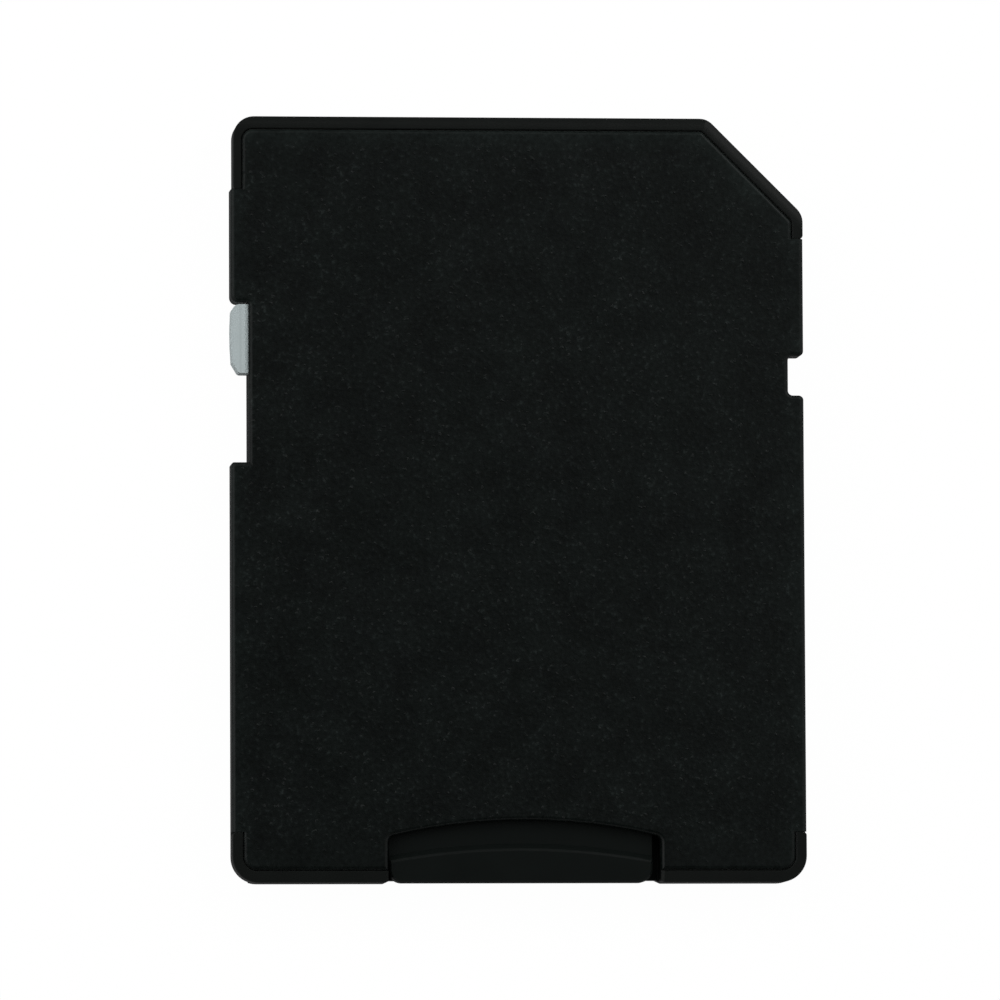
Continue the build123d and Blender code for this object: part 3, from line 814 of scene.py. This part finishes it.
def make_camera(scene, stage):
    """A long lens above the card, leaning a little to the left and to the rear."""
    data = bpy.data.cameras.new("camera")
    data.lens = data.sensor_width * stage.camera_distance / stage.view_span
    data.clip_start = CLIP_NEAR * stage.camera_distance
    data.clip_end = CLIP_FAR * stage.floor_side
    camera = bpy.data.objects.new("camera", data)
    scene.collection.objects.link(camera)
    back = Vector((math.tan(stage.lean_side), math.tan(stage.lean_end), 1.0)).normalized()
    right = Vector((0.0, 1.0, 0.0)).cross(back).normalized()
    up = back.cross(right)
    upright = Matrix((right, up, back)).transposed()
    turned = upright @ Matrix.Rotation(stage.roll, 3, "Z")
    place = Matrix.Translation(Vector(stage.look_at) + back * stage.camera_distance)
    camera.matrix_world = place @ turned.to_4x4()
    scene.camera = camera


class CARD_OT_front_cover(bpy.types.Operator):
    """Gives the front cover its spark-eroded black"""

    bl_idname = "card.front_cover"
    bl_label = "Finish Front Cover"

    def execute(self, context):
        finish = context.scene.card_finish
        dress(["front_cover"], spark_eroded_abs("abs_black_spark_eroded", finish, "front_cover"))
        return {"FINISHED"}


class CARD_OT_back_cover(bpy.types.Operator):
    """Gives the back cover its finer satin black"""

    bl_idname = "card.back_cover"
    bl_label = "Finish Back Cover"

    def execute(self, context):
        finish = context.scene.card_finish
        dress(["back_cover"], blasted_abs("abs_black_blasted", finish))
        return {"FINISHED"}


class CARD_OT_carrier(bpy.types.Operator):
    """Gives the terminal carrier its dull streaked black"""

    bl_idname = "card.carrier"
    bl_label = "Finish Terminal Carrier"

    def execute(self, context):
        finish = context.scene.card_finish
        dress(["terminal_carrier"], moulded_lcp("lcp_black_moulded", finish.carrier_black))
        return {"FINISHED"}


class CARD_OT_terminals(bpy.types.Operator):
    """Plates the terminals with gold"""

    bl_idname = "card.terminals"
    bl_label = "Finish Terminals"

    def execute(self, context):
        finish = context.scene.card_finish
        gold = rolled_strip(
            "bronze_gold_plated_stamped", finish.contact_gold, finish.rolling_line, TERMINAL_ROUGHNESS
        )
        dress(TERMINALS, gold)
        return {"FINISHED"}


class CARD_OT_side_spring(bpy.types.Operator):
    """Gives the side spring its rolled steel"""

    bl_idname = "card.side_spring"
    bl_label = "Finish Side Spring"

    def execute(self, context):
        finish = context.scene.card_finish
        steel = rolled_strip("spring_steel_rolled", finish.leaf_steel, finish.rolling_line, SPRING_ROUGHNESS)
        dress(["side_spring"], steel)
        return {"FINISHED"}


class CARD_OT_lock_slider(bpy.types.Operator):
    """Gives the lock slider its pale grey"""

    bl_idname = "card.lock_slider"
    bl_label = "Finish Lock Slider"

    def execute(self, context):
        finish = context.scene.card_finish
        acetal = moulded_acetal("acetal_grey_moulded", finish.slider_grey, finish.parting_line, "lock_slider")
        dress(["lock_slider"], acetal)
        return {"FINISHED"}


class CARD_OT_micro_card(bpy.types.Operator):
    """Gives the micro card its satin black"""

    bl_idname = "card.micro_card"
    bl_label = "Finish Micro Card"

    def execute(self, context):
        finish = context.scene.card_finish
        dress(["micro_card"], transfer_moulded_epoxy("epoxy_black_transfer_moulded", finish.card_black))
        return {"FINISHED"}


class CARD_OT_micro_contacts(bpy.types.Operator):
    """Plates the contact pads of the micro card with gold"""

    bl_idname = "card.micro_contacts"
    bl_label = "Finish Micro Card Contacts"

    def execute(self, context):
        finish = context.scene.card_finish
        gold = rolled_strip(
            "copper_gold_plated_etched", finish.contact_gold, finish.rolling_line, PAD_ROUGHNESS
        )
        dress(["micro_card_contacts"], gold)
        return {"FINISHED"}


class CARD_OT_stage(bpy.types.Operator):
    """Sets up the white floor, the world, the lamps and the camera"""

    bl_idname = "card.stage"
    bl_label = "Set Stage"

    def execute(self, context):
        scene = context.scene
        stage = scene.card_stage
        scene.view_settings.view_transform = "Standard"
        make_floor(scene, stage)
        make_world(scene)
        make_lamps(scene, stage)
        make_camera(scene, stage)
        return {"FINISHED"}


class CARD_PT_panel(bpy.types.Panel):
    """Lists the finishes and the stage"""

    bl_idname = "CARD_PT_panel"
    bl_label = "Card Adapter"
    bl_space_type = "VIEW_3D"
    bl_region_type = "UI"
    bl_category = "Card Adapter"

    def draw(self, context):
        for settings in (context.scene.card_finish, context.scene.card_stage):
            column = self.layout.column()
            for name in settings.__annotations__:
                column.prop(settings, name)
        for operator in OPERATORS:
            self.layout.operator(operator.bl_idname)


OPERATORS = (
    CARD_OT_front_cover,
    CARD_OT_back_cover,
    CARD_OT_carrier,
    CARD_OT_terminals,
    CARD_OT_side_spring,
    CARD_OT_lock_slider,
    CARD_OT_micro_card,
    CARD_OT_micro_contacts,
    CARD_OT_stage,
)
CLASSES = (CardFinish, CardStage, *OPERATORS, CARD_PT_panel)


def register():
    for kind in CLASSES:
        bpy.utils.register_class(kind)
    bpy.types.Scene.card_finish = bpy.props.PointerProperty(type=CardFinish)
    bpy.types.Scene.card_stage = bpy.props.PointerProperty(type=CardStage)


def unregister():
    del bpy.types.Scene.card_stage
    del bpy.types.Scene.card_finish
    for kind in reversed(CLASSES):
        bpy.utils.unregister_class(kind)


def main():
    register()
    bpy.ops.card.front_cover()
    bpy.ops.card.back_cover()
    bpy.ops.card.carrier()
    bpy.ops.card.terminals()
    bpy.ops.card.side_spring()
    bpy.ops.card.lock_slider()
    bpy.ops.card.micro_card()
    bpy.ops.card.micro_contacts()
    bpy.ops.card.stage()


if __name__ == "__main__":
    main()
